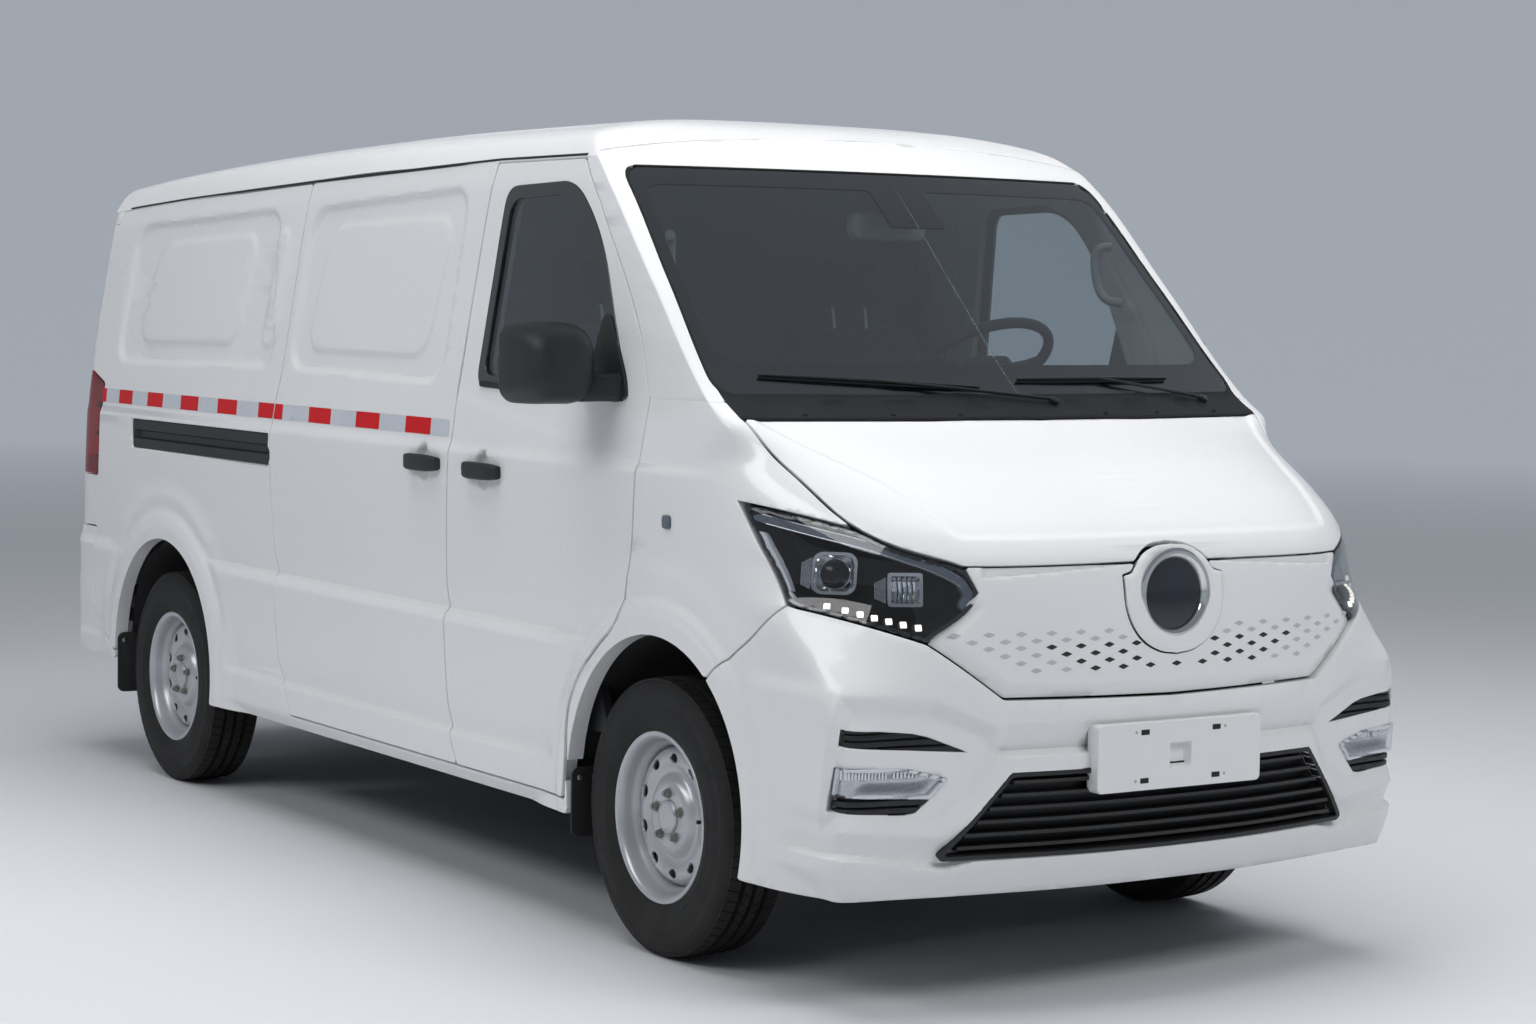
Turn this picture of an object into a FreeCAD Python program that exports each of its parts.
import FreeCAD, Part
import math
import os

V = FreeCAD.Vector
os.makedirs("parts", exist_ok=True)

# A light electric panel van. Millimetres, +X forward, +Y to the van's left, +Z up.
# The origin is on the ground, midway between nose and tail and between the sides.

# Driving dimensions
WHEELBASE = 3050.0
FRONT_OVERHANG = 955.0
REAR_OVERHANG = 860.0
WIDTH = 1715.0
HEIGHT = 2065.0
TRACK = 1460.0
TYRE_RADIUS = 337.0
TYRE_WIDTH = 185.0
RIM_SEAT_RADIUS = 190.0
WALL = 50.0
SEAM = 6.0
SEAT = 0.3
GLASS = 5.0
OVERRUN = 60.0

LENGTH = FRONT_OVERHANG + WHEELBASE + REAR_OVERHANG
HALF_WIDTH = WIDTH / 2
FRONT_AXLE_X = LENGTH / 2 - FRONT_OVERHANG
REAR_AXLE_X = FRONT_AXLE_X - WHEELBASE

# Wheels, arches and running gear
ARCH_RADIUS = 405.0
ARCH_RISE = 38.0
FRONT_ARCH_SHIFT = 35.0
ARCH_DEPTH = 260.0
LINER_RADIUS = 425.0
LINER_RISE = 20.0
FLARE_RADIUS = 610.0
FLARE_EDGE_RADIUS = 455.0
FLARE_ROOT = 30.0
LINER_WALL = 8.0
RIM_WALL = 6.0
RIM_WIDTH = 144.0
RIM_FLANGE = 18.0
RIM_DROP = 18.0
RIM_DISC_OFFSET = 50.0
RIM_DISC_DISH = 18.0
RIM_DISC_THICKNESS = 8.0
RIM_BORE = 30.0
RIM_CAP = 38.0
RIM_WINDOW_RADIUS = 16.0
RIM_WINDOW_CIRCLE = 132.0
RIM_WINDOWS = 10
TYRE_BEAD_WIDTH = 61.0
TYRE_SHOULDER = 12.0
TREAD_INSET = 30.0
KINGPIN_LOW_Y = 690.0
KINGPIN_LOW_Z = 235.0
KINGPIN_TOP_Y = 560.0
KINGPIN_TOP_Z = 770.0
KINGPIN_RADIUS = 20.0
KNUCKLE_HEIGHT = 270.0
HUB_INSET = 60.0
BRAKE_RADIUS = 102.0
BRAKE_THICKNESS = 22.0
BRAKE_INSET = 62.0
ARM_THICKNESS = 26.0
ARM_HALF_WIDTH = 42.0
RAIL_Y = 400.0
RAIL_WIDTH = 60.0
RAIL_HEIGHT = 80.0
FLOOR_Z = 520.0
FLOOR_THICKNESS = 40.0
BATTERY_BOTTOM = 230.0
BATTERY_LENGTH = 1400.0
BATTERY_GAP = 12.0
AXLE_TUBE_RADIUS = 42.0
MOTOR_RADIUS = 120.0
MOTOR_LENGTH = 330.0
SPRING_LENGTH = 1150.0
SPRING_THICKNESS = 26.0
FLAP_THICKNESS = 6.0

# Doors, hinges and fittings
DOOR_STEP = 8.0
BUFFER_LENGTH = 60.0
BUFFER_WIDTH = 14.0
HOOD_REAR_TRIM = 12.0
HINGE_PIN = 7.0
HINGE_EYE = 12.0
HINGE_HEIGHT = 70.0
FRAME_LIP = 28.0
CORNER_RADIUS = 55.0
PLATE_WIDTH = 480.0
PLATE_HEIGHT = 155.0
PLATE_HOLE_RADIUS = 3.5
PLATE_HOLE_SPACING_Y = 210.0
PLATE_HOLE_SPACING_Z = 110.0
PLATE_CENTRE_SHARE = 0.273
PLATE_ROOT = 45.0
SURFACE_FITTING = 12.0
SLAT_THICKNESS = 8.0
SLAT_COUNT = 6
PANEL_RECESS = 10.0
TRACK_RECESS = 22.0
HANDLE_LENGTH = 190.0
HANDLE_HEIGHT = 38.0
HANDLE_PROUD = 32.0
HANDLE_THICKNESS = 14.0
BULKHEAD_THICKNESS = 30.0
WHEEL_RIM_RADIUS = 190.0
WHEEL_GRIP_RADIUS = 14.0
WHEEL_BOSS_RADIUS = 63.0
WHEEL_SPOKE_RADIUS = 11.0
COLUMN_RADIUS = 22.0
WIPER_RADIUS = 7.0
WIPER_PIVOT_RADIUS = 14.0

# Heights of the body side, as shares of the half width and of the height
SIDE_SHARES = [(0.910, 0.097), (0.956, 0.140), (0.985, 0.160), (0.985, 0.199),
               (0.975, 0.208), (0.989, 0.344), (0.973, 0.361), (0.980, 0.564),
               (0.970, 0.574), (0.956, 0.644)]
UPPER_SIDE_SHARES = [(0.933, 0.450), (0.910, 0.866), (0.892, 1.0)]
BELT_SHARE = 0.644
SKIRT_SHARE = 0.06
# Roof arch: share of the half width, then of the rise from drip rail to crown
ROOF_SHARES = [(0.868, 0.20), (0.840, 0.38), (0.740, 0.60), (0.583, 0.76),
               (0.320, 0.93), (0.0, 1.0)]
# Along the van: share of the wheelbase behind the front axle, drip rail, crown
ROOF_STATION_SHARES = [(-0.45, 0.930, 0.998), (0.16, 0.933, 0.999), (0.50, 0.930, 1.0),
                       (0.80, 0.914, 0.994), (1.06, 0.898, 0.980), (1.34, 0.878, 0.942)]

# Centre line of the nose: share of the height, share of the front overhang, roundness
NOSE_SHARES = [(0.097, 0.890, 0.0), (0.165, 0.948, 0.0), (0.218, 0.974, 0.0),
               (0.291, 0.984, 0.0), (0.349, 0.979, 0.12), (0.387, 0.974, 0.35),
               (0.484, 0.948, 1.0), (0.513, 0.911, 1.0), (0.547, 0.817, 0.9),
               (0.581, 0.681, 0.7), (0.634, 0.419, 0.25), (0.654, 0.351, 0.0)]
# Windscreen and roof front: share of the height, share of the wheelbase behind the axle
SCREEN_SHARES = [(0.785, -0.015), (0.926, 0.089), (0.961, 0.131), (0.983, 0.180),
                 (0.995, 0.262), (1.005, 0.430)]
# Centre line of the tail: share of the height, share of the rear overhang
TAIL_SHARES = [(0.097, 0.965), (0.165, 0.996), (0.218, 1.0), (0.349, 0.996),
               (0.383, 0.959), (0.484, 0.942), (0.581, 0.913), (0.697, 0.849),
               (0.785, 0.791), (0.896, 0.733), (0.935, 0.755), (0.961, 0.709),
               (0.983, 0.581), (1.005, 0.291)]
# Plan curves: share of the half width, then setback as a share of the front overhang
PLAN_Y_SHARES = [0.0, 0.33, 0.54, 0.70, 0.82, 0.90, 0.955, 0.985, 1.0]
SQUARE_SHARES = [0.0, 0.013, 0.042, 0.068, 0.091, 0.105, 0.131, 0.178, 0.314]
ROUND_SHARES = [0.0, 0.002, 0.024, 0.085, 0.193, 0.330, 0.497, 0.667, 0.948]
SCREEN_PLAN_SHARES = [0.0, 0.016, 0.043, 0.072, 0.098, 0.118, 0.134, 0.142, 0.147]
TAIL_PLAN_SHARES = [0.0, 0.003, 0.009, 0.016, 0.024, 0.036, 0.060, 0.105, 0.190]

# Door seams: share of the wheelbase behind the front axle, share of the height
DOOR_TOP_FRONT_SHARE = 0.152
DOOR_TOP_REAR_SHARE = 0.302
SLIDE_TOP_REAR_SHARE = 0.680
DOOR_FRONT_SHARES = [(0.118, 0.877), (0.039, 0.726), (0.016, 0.646),
                     (0.026, 0.558), (0.033, 0.460), (0.047, 0.387), (0.074, 0.354),
                     (0.103, 0.316), (0.121, 0.270), (0.125, 0.200), (0.128, 0.162)]
DOOR_REAR_SHARES = [(0.322, 0.162), (0.339, 0.208), (0.348, 0.354), (0.350, 0.479),
                    (0.341, 0.644)]
SLIDE_REAR_SHARES = [(0.676, 0.162), (0.702, 0.220), (0.716, 0.373), (0.725, 0.441),
                     (0.728, 0.586), (0.715, 0.649)]
WINDOW_SHARES = [(0.272, 0.893), (0.160, 0.897), (0.112, 0.837), (0.056, 0.648),
                 (0.302, 0.655)]
HEADER_SHARE = 0.138
DRIP_SHARES = [(HEADER_SHARE, 0.933), (DOOR_TOP_REAR_SHARE, 0.933), (SLIDE_TOP_REAR_SHARE, 0.918),
               (1.0, 0.902), (1.13, 0.893), (1.178, 0.889), (1.184, 0.868), (1.40, 0.868)]
ROOF_CAP_SHARES = [(1.40, 1.10), (HEADER_SHARE, 1.10)]
SILL_SHARE = 0.142
REAR_PANEL_SHARES = [(1.159, 0.646), (1.120, 0.866), (0.745, 0.886), (0.740, 0.652)]
SLIDE_PANEL_SHARES = [(0.704, 0.652), (0.670, 0.884), (0.345, 0.905), (0.375, 0.646)]
TRACK_CHANNEL_SHARES = [(1.093, 0.514), (1.093, 0.559), (0.734, 0.559), (0.734, 0.514)]
# Front view outlines: share of the half width, share of the height
HOOD_SHARES = [(0.0, 0.485), (0.638, 0.485), (0.816, 0.519), (0.869, 0.581), (0.903, 0.632),
               (0.0, 0.632)]
SHIELD_SHARES = [(0.0, 0.383), (0.06, 0.387), (0.121, 0.402), (0.159, 0.429), (0.168, 0.470),
                 (0.139, 0.473), (0.105, 0.490), (0.060, 0.500), (0.0, 0.503)]
LAMP_FRONT_SHARES = [(0.606, 0.456), (0.638, 0.485), (0.816, 0.517), (0.956, 0.540),
                     (1.08, 0.560), (1.08, 0.455), (0.968, 0.439), (0.737, 0.404)]
LAMP_SIDE_SHARES = [(0.361, 0.548), (0.576, 0.439), (1.15, 0.36), (1.15, 0.60), (0.40, 0.60)]
PANEL_SHARES = [(0.0, 0.485), (0.638, 0.485), (0.606, 0.456), (0.737, 0.404), (0.535, 0.343),
                (0.0, 0.339)]
GRILLE_SHARES = [(0.0, 0.258), (0.507, 0.258), (0.681, 0.174), (0.0, 0.172)]
FOG_SHARES = [(1.02, 0.322), (0.75, 0.300), (0.63, 0.284), (0.66, 0.250), (0.76, 0.213), (1.02, 0.209)]
FOG_LAMP_SHARES = [(1.02, 0.272), (0.70, 0.268), (0.67, 0.252), (0.745, 0.232), (1.02, 0.237)]
SCREEN_OUTLINE_SHARES = [(0.918, 0.657), (0.846, 0.920)]
COWL_SHARES = [(0.922, 0.632), (0.922, 0.655)]
TAILGATE_SHARES = [(0.842, 0.3785), (0.866, 0.575), (0.842, 0.70), (0.800, 0.876)]
BACK_WINDOW_SHARES = [(0.735, 0.660), (0.700, 0.850)]
# Bumper seam: share of the front overhang, share of the height
BUMPER_SEAM_SHARES = [(0.24, 0.10), (0.24, 0.315), (0.282, 0.336), (0.329, 0.354),
                      (0.423, 0.380), (0.601, 0.441), (1.20, 0.490), (1.20, 0.10)]
BUMPER_BOTTOM_SHARE = 0.127
REAR_BUMPER_SEAM_SHARES = [(0.30, 0.10), (0.30, 0.178), (0.488, 0.184), (0.719, 0.232),
                           (0.719, 0.376), (1.20, 0.376), (1.20, 0.10)]
REAR_BUMPER_BOTTOM_SHARE = 0.172
TAIL_LAMP_SHARES = [(0.70, 0.463), (0.66, 0.61), (0.80, 0.63), (1.10, 0.63), (1.10, 0.463)]

HOOD_REAR_BLEND = 0.5
KNOT_BLEND = 0.5
PILLAR_FOOT_SHARE = 0.648
# Where the tools that cut the ends start, well inside the walls, and where they stop
NOSE_ROOT_SHARE = 0.6
TAIL_ROOT_SHARE = 0.5
SCREEN_ROOT_SHARE = 0.3
CAB_REAR_SHARE = 0.5
NOSE_REACH_SHARE = 1.2
FENDER_REAR_SHARE = 0.122
SILL_FRONT_TOP_SHARE = 0.30
SILL_BUFFER_SHARES = (0.19, 0.30)
BUFFER_Y_SHARE = 0.98
HOOD_BUFFER_SHARES = (0.915, 0.35)
TAILGATE_AXIS_SHARE = 0.735
TAILGATE_HINGE_SHARE = 0.45
FOG_RECESS = 32.0
TRACK_SLOT_SHARES = (0.35, 0.62)
FLOOR_FRONT_SHARE = -0.055
FLOOR_SPLIT_SHARE = 0.35
FLOOR_REAR_SHARE = 0.90
FRONT_LINER_Y = 450.0
REAR_LINER_Y = 590.0
RAIL_REAR_SHARE = 0.86
RAIL_FRONT_SHARE = 0.84
CROSS_SHARES = (0.16, 0.33, 0.62, 0.84, 1.18)
OUTRIGGER_Y = 740.0
BATTERY_SHARE = 0.485
STRUT_COVER = 30.0
STRUT_TOWER = 45.0
STRUT_COVER_SHARE = 0.62
RIM_LEDGE_SHARE = 0.55
RIM_WELL_SHARE = 0.32
DASH_SHARES = [(0.089, 0.634), (0.102, 0.581), (0.079, 0.484), (0.033, 0.436),
               (-0.068, 0.436), (-0.068, 0.625), (-0.020, 0.655)]
FIREWALL_SHARE = -0.060
STEERING_SHARES = (0.098, 0.43, 0.668)
STEERING_RAKE_DEG = 55.0
WHEEL_DISH = 45.0
COLUMN_LENGTH = 220.0
SEAT_Y = 375.0
SEAT_WIDTH = 500.0
SEAT_SHARES = (0.150, 0.285, 0.400, 0.735)
SEAT_LEAN_SHARE = 0.16
CUSHION = 110.0
HEADREST_WIDTH = 250.0
HEADREST_HEIGHT = 176.0
HEADREST_DEPTH = 88.0
HEADREST_LEAN = 28.0
BULKHEAD_SHARE = 0.375
MIRROR_X_SHARES = (0.120, 0.056)
MIRROR_Y_SHARES = (1.015, 1.236)
MIRROR_Z_SHARES = (0.637, 0.734)
MIRROR_ROOT_SHARE = 0.88
MIRROR_FILLET = 47.0
MIRROR_ARM_SHARES = [(0.100, 0.645), (0.040, 0.625), (0.026, 0.640), (0.045, 0.700), (0.085, 0.700)]
DOOR_HANDLE_SHARES = (0.280, 0.543)
SLIDE_HANDLE_SHARES = (0.393, 0.545)
HANDLE_FOOT_SHARE = 0.98
# Each wiper: blade from, blade to, pivot
WIPER_SHARES = [[(-0.78, 0.676), (-0.13, 0.663), (0.10, 0.648)],
                [(0.02, 0.672), (0.62, 0.672), (0.72, 0.648)]]
# Flaps: low edge, top edge, outer edge, inner edge
FRONT_FLAP_SHARES = (0.114, 0.199, 0.985, 0.885)
REAR_FLAP_SHARES = (0.117, 0.213, 0.985, 0.790)


def ahead(share):
    return FRONT_AXLE_X + share * FRONT_OVERHANG


def back(share):
    return FRONT_AXLE_X - share * WHEELBASE


def behind(share):
    return REAR_AXLE_X - share * REAR_OVERHANG


def up(share):
    return share * HEIGHT


def out(share):
    return share * HALF_WIDTH


def side_points(shares):
    return [(back(a), up(b)) for a, b in shares]


def front_points(shares):
    return [(out(a), up(b)) for a, b in shares]


def inset_line(points, depth):
    """Move an open outline square to its runs, to the left of its direction."""
    moved = []
    for index, (a, b) in enumerate(points):
        a0, b0 = points[max(index - 1, 0)]
        a1, b1 = points[min(index + 1, len(points) - 1)]
        run, rise = a1 - a0, b1 - b0
        size = math.hypot(run, rise)
        moved.append((a - depth * rise / size, b + depth * run / size))
    return moved


def polygon(points):
    return Part.Face(Part.makePolygon(points + [points[0]]))


def side_face(points, y=0.0):
    return polygon([V(x, y, z) for x, z in points])


def front_face(points, x=0.0):
    return polygon([V(x, y, z) for y, z in points])


def span_y(face, y_from, y_to):
    return face.translated(V(0, y_from, 0)).extrude(V(0, y_to - y_from, 0))


def span_x(face, x_from, x_to):
    return face.translated(V(x_from, 0, 0)).extrude(V(x_to - x_from, 0, 0))


def box(x0, x1, y0, y1, z0, z1):
    return Part.makeBox(x1 - x0, y1 - y0, z1 - z0, V(x0, y0, z0))


def mirrored(shape):
    return shape.mirror(V(0, 0, 0), V(0, 1, 0))


def grown(face, by):
    return face.makeOffset2D(by, 2)


def rounded(face, radius):
    """Round the corners of a flat outline that are far enough apart."""
    return face.makeOffset2D(-radius, 2).makeOffset2D(radius, 0)


def both_sides(points):
    """Complete a front outline given from the centre line to one side."""
    return points + [(-a, b) for a, b in reversed(points) if a != 0]


def solid_of(shape):
    """The largest solid of a boolean result."""
    return max(shape.Solids, key=lambda piece: piece.Volume)


def joined(first, *others):
    return first.fuse(list(others)).removeSplitter()


def blend_shares(first, second, weight):
    return [a + (b - a) * weight for a, b in zip(first, second)]


def curve_through(points):
    curve = Part.BSplineCurve()
    curve.interpolate(points)
    return curve.toShape()


def plan_knots():
    """One parameter per plan point, the same for every level, so that levels blend evenly."""
    setbacks = blend_shares(SQUARE_SHARES, ROUND_SHARES, KNOT_BLEND)
    half = [(a * HALF_WIDTH, b * FRONT_OVERHANG) for a, b in zip(PLAN_Y_SHARES, setbacks)]
    points = [(-a, b) for a, b in reversed(half[1:])] + half
    knots = [0.0]
    for (a0, b0), (a1, b1) in zip(points, points[1:]):
        knots.append(knots[-1] + math.hypot(a1 - a0, b1 - b0))
    return [knot / knots[-1] for knot in knots]


def plan_wire(z, centre_x, setbacks, half, toward):
    """One level of the nose or tail: a curved end and a straight far end."""
    right = [V(centre_x - toward * s, -a * half, z) for a, s in zip(PLAN_Y_SHARES, setbacks)]
    left = [V(centre_x - toward * s, a * half, z) for a, s in zip(PLAN_Y_SHARES, setbacks)]
    curve = Part.BSplineCurve()
    curve.interpolate(Points=list(reversed(right)) + left[1:], Parameters=PLAN_KNOTS)
    far_x = -toward * LENGTH
    corners = [left[-1], V(far_x, half, z), V(far_x, -half, z), right[-1]]
    lines = [Part.makeLine(a, b) for a, b in zip(corners, corners[1:])]
    return Part.Wire([curve.toShape()] + lines)


PLAN_KNOTS = plan_knots()
HOOD_REAR_PLAN = blend_shares(SQUARE_SHARES, SCREEN_PLAN_SHARES, HOOD_REAR_BLEND)


def nose_form(depth):
    profile = [(ahead(b), up(a)) for a, b, c in NOSE_SHARES]
    profile += [(back(b), up(a)) for a, b in SCREEN_SHARES]
    plans = [blend_shares(SQUARE_SHARES, ROUND_SHARES, c) for a, b, c in NOSE_SHARES]
    plans[-1] = SCREEN_PLAN_SHARES
    plans[-2] = HOOD_REAR_PLAN
    plans += [SCREEN_PLAN_SHARES] * len(SCREEN_SHARES)
    half = HALF_WIDTH - depth
    levels = list(zip(inset_line(profile, depth), plans))
    (foot_x, foot_z), foot_plan = levels[0]
    levels.insert(0, ((foot_x, foot_z - up(SKIRT_SHARE)), foot_plan))
    wires = []
    for (x, z), plan in levels:
        setbacks = [share * FRONT_OVERHANG for share in plan]
        wires.append(plan_wire(z, x, setbacks, half, 1))
    return Part.makeLoft(wires, True, True)


def tail_form(depth):
    profile = [(behind(b), up(a)) for a, b in TAIL_SHARES]
    setbacks = [share * FRONT_OVERHANG for share in TAIL_PLAN_SHARES]
    half = HALF_WIDTH - depth
    levels = inset_line(profile, -depth)
    levels.insert(0, (levels[0][0], levels[0][1] - up(SKIRT_SHARE)))
    wires = [plan_wire(z, x, setbacks, half, -1) for x, z in levels]
    return Part.makeLoft(wires, True, True)


def section_wire(x, drip, crown, depth):
    lower = [(out(a) - depth, up(b)) for a, b in SIDE_SHARES]
    lower[0] = (lower[0][0], lower[0][1] - depth)
    rise = drip - BELT_SHARE
    upper = [(out(a) - depth, up(BELT_SHARE + b * rise)) for a, b in UPPER_SIDE_SHARES[:-1]]
    rail = (out(UPPER_SIDE_SHARES[-1][0]) - depth, up(drip) - depth)
    shrink = 1 - depth / HALF_WIDTH
    arch = [(out(a) * shrink, up(drip + b * (crown - drip)) - depth) for a, b in ROOF_SHARES]
    wall = lower + upper + [rail]
    roof = [rail] + arch
    right = [V(x, -a, b) for a, b in wall]
    left = [V(x, a, b) for a, b in reversed(wall)]
    over = [V(x, -a, b) for a, b in roof] + [V(x, a, b) for a, b in reversed(roof[:-1])]
    edges = [Part.makeLine(a, b) for a, b in zip(right, right[1:])]
    edges.append(curve_through(over))
    edges += [Part.makeLine(a, b) for a, b in zip(left, left[1:])]
    edges.append(Part.makeLine(left[-1], right[0]))
    return Part.Wire(edges)


def section_form(depth):
    wires = [section_wire(back(a), b, c, depth) for a, b, c in ROOF_STATION_SHARES]
    return Part.makeLoft(wires, True, True)


def body_form(depth):
    """The body's outer shape, moved inwards by depth."""
    return section_form(depth).common(nose_form(depth)).common(tail_form(depth))


def axle_cylinder(x, radius, y_from, y_to, z):
    return Part.makeCylinder(radius, y_to - y_from, V(x, y_from, z), V(0, 1, 0))


def arch_centre(axle_x):
    """Middle of the opening in the body side; the front one sits ahead of its axle."""
    shift = FRONT_ARCH_SHIFT if axle_x > 0 else 0.0
    return axle_x + shift, TYRE_RADIUS + ARCH_RISE


def flare(axle_x):
    """The swelling round one right-hand wheel arch, a low cone."""
    x, z = arch_centre(axle_x)
    root_y = HALF_WIDTH - FLARE_ROOT
    cone = Part.makeCone(FLARE_EDGE_RADIUS, FLARE_RADIUS, FLARE_ROOT, V(x, -HALF_WIDTH, z), V(0, 1, 0))
    core = axle_cylinder(x, FLARE_RADIUS, -root_y, -root_y + FLARE_ROOT, z)
    band = box(x - LENGTH, x + LENGTH, -WIDTH, 0, up(SILL_SHARE), HEIGHT)
    return cone.fuse(core).common(band)


def arch_hole(axle_x):
    x, z = arch_centre(axle_x)
    return axle_cylinder(x, ARCH_RADIUS, -HALF_WIDTH - OVERRUN, -HALF_WIDTH + ARCH_DEPTH, z)


def liner_tube(axle_x, radius, y_from, y_to):
    return axle_cylinder(axle_x, radius, y_from, y_to, TYRE_RADIUS + LINER_RISE)


def through_right(face):
    """A side outline as a solid that reaches through the right-hand wall."""
    return span_y(face, -HALF_WIDTH - OVERRUN, -HALF_WIDTH + ARCH_DEPTH)


def right_tool(points, grow=0.0):
    face = side_face(points)
    if grow:
        face = grown(face, grow)
    return through_right(face)


def front_tool(points, x_from, x_to, grow=0.0):
    face = front_face(both_sides(points))
    if grow:
        face = grown(face, grow)
    return span_x(face, x_from, x_to)


OUTER = body_form(0.0)
INNER = body_form(WALL)
CABIN = body_form(WALL + SEAM)
LOAD = body_form(WALL + SEAT)
GLASS_INNER = body_form(GLASS)
GLASS_BED = body_form(GLASS + SEAT)
RECESS_FORM = body_form(PANEL_RECESS)
TRACK_FORM = body_form(TRACK_RECESS)
TRACK_LIP_FORM = body_form(TRACK_RECESS - GLASS)
FOG_FORM = body_form(FOG_RECESS)
FITTING_LAYER = body_form(-SURFACE_FITTING).cut(OUTER)

FLARES = [flare(FRONT_AXLE_X), flare(REAR_AXLE_X)]
ARCHES = [arch_hole(FRONT_AXLE_X), arch_hole(REAR_AXLE_X)]
RIGHT_HALF = box(-LENGTH, LENGTH, -WIDTH, 0, 0, HEIGHT + OVERRUN)
SHELL = OUTER.fuse(FLARES + [mirrored(f) for f in FLARES]).cut(INNER)
SHELL = SHELL.cut(ARCHES + [mirrored(a) for a in ARCHES])
RIGHT_SHELL = SHELL.common(RIGHT_HALF)


def drip_z(x_share):
    """Height of the roof's lower edge over the side."""
    for (x0, z0), (x1, z1) in zip(DRIP_SHARES, DRIP_SHARES[1:]):
        if x0 <= x_share <= x1:
            return up(z0 + (z1 - z0) * (x_share - x0) / (x1 - x0))


def top_corner(x_share, gap):
    return back(x_share), drip_z(x_share) - gap


DOOR_OUTLINE = ([top_corner(DOOR_TOP_FRONT_SHARE, SEAM)]
                + side_points(DOOR_FRONT_SHARES + DOOR_REAR_SHARES)
                + [top_corner(DOOR_TOP_REAR_SHARE, SEAM)])
SLIDE_OUTLINE = ([top_corner(DOOR_TOP_REAR_SHARE, 0)]
                 + side_points(DOOR_REAR_SHARES[::-1] + SLIDE_REAR_SHARES)
                 + [top_corner(SLIDE_TOP_REAR_SHARE, 0)])
DOOR_TOOL = right_tool(DOOR_OUTLINE)
DOOR_GAP = right_tool(DOOR_OUTLINE, SEAM)
SLIDE_TOOL = right_tool(SLIDE_OUTLINE)
NOSE_X = ahead(NOSE_REACH_SHARE)
TAIL_X = behind(NOSE_REACH_SHARE)


def nose_points(shares):
    return [(ahead(a), up(b)) for a, b in shares]


def tail_points(shares):
    return [(behind(a), up(b)) for a, b in shares]


def across(face):
    return span_y(face, -WIDTH, WIDTH)


ROOF_TOOL = across(side_face(side_points(DRIP_SHARES + ROOF_CAP_SHARES)))
BUMPER_TOOL = across(side_face(nose_points(BUMPER_SEAM_SHARES)))
REAR_BUMPER_TOOL = across(side_face(tail_points(REAR_BUMPER_SEAM_SHARES)))
HOOD_TOOL = front_tool(front_points(HOOD_SHARES), FRONT_AXLE_X, NOSE_X)
HOOD_GAP = front_tool(front_points(HOOD_SHARES), FRONT_AXLE_X, NOSE_X, SEAM)
PANEL_TOOL = front_tool(front_points(PANEL_SHARES), ahead(NOSE_ROOT_SHARE), NOSE_X).cut(HOOD_GAP)
COWL_TOOL = front_tool([(0, up(COWL_SHARES[0][1]))] + front_points(COWL_SHARES)
                       + [(0, up(COWL_SHARES[1][1]))], FRONT_AXLE_X, NOSE_X).cut(HOOD_GAP)
SHIELD_TOOL = front_tool(front_points(SHIELD_SHARES), ahead(NOSE_ROOT_SHARE), NOSE_X)
SHIELD_GAP = front_tool(front_points(SHIELD_SHARES), ahead(NOSE_ROOT_SHARE), NOSE_X, SEAM)
LAMP_FRONT_TOOL = span_x(front_face([(-y, z) for y, z in front_points(LAMP_FRONT_SHARES)]),
                         FRONT_AXLE_X, NOSE_X)
LAMP_SIDE_TOOL = span_y(side_face(nose_points(LAMP_SIDE_SHARES)), -WIDTH, 0)
LAMP_TOOL = LAMP_FRONT_TOOL.common(LAMP_SIDE_TOOL).cut(HOOD_GAP)
TAILGATE_TOOL = front_tool(front_points(TAILGATE_SHARES), TAIL_X, behind(TAIL_ROOT_SHARE))
TAILGATE_GAP = front_tool(front_points(TAILGATE_SHARES), TAIL_X, behind(TAIL_ROOT_SHARE), SEAM)
TAIL_LAMP_TOOL = span_y(side_face(tail_points(TAIL_LAMP_SHARES)), -WIDTH, 0).cut(TAILGATE_GAP)
PILLAR_FOOT_Z = up(PILLAR_FOOT_SHARE)


def recess(shape, outline_shares, floor_form, radius):
    """Press a side outline into a right-hand panel, down to a deeper form."""
    face = side_face(side_points(outline_shares))
    if radius:
        face = rounded(face, radius)
    return shape.cut(through_right(face).cut(floor_form))


def build_front_door():
    """The right-hand cab door: its inner part stands back from the edges of its skin."""
    door = solid_of(RIGHT_SHELL.common(DOOR_TOOL))
    rim = DOOR_TOOL.cut(right_tool(DOOR_OUTLINE, -DOOR_STEP))
    door = solid_of(door.cut(rim.common(RECESS_FORM)))
    window = rounded(side_face(side_points(WINDOW_SHARES)), CORNER_RADIUS)
    door = door.cut(through_right(grown(window, -FRAME_LIP)))
    return solid_of(door.cut(through_right(window).cut(GLASS_BED)))


def build_door_glass():
    window = rounded(side_face(side_points(WINDOW_SHARES)), CORNER_RADIUS)
    return solid_of(OUTER.cut(GLASS_INNER).common(through_right(grown(window, -SEAT))))


def build_sliding_door():
    door = RIGHT_SHELL.common(SLIDE_TOOL).cut(DOOR_GAP)
    return solid_of(recess(door, SLIDE_PANEL_SHARES, RECESS_FORM, CORNER_RADIUS))


def sill_buffers():
    """Rubber stops on the sill that carry the closed cab door."""
    door_low = min(z for x, z in DOOR_OUTLINE)
    y = -out(BUFFER_Y_SHARE)
    return [box(back(share), back(share) + BUFFER_LENGTH, y, y + BUFFER_WIDTH, door_low - 2 * SEAM,
                door_low - SEAT) for share in SILL_BUFFER_SHARES]


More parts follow.
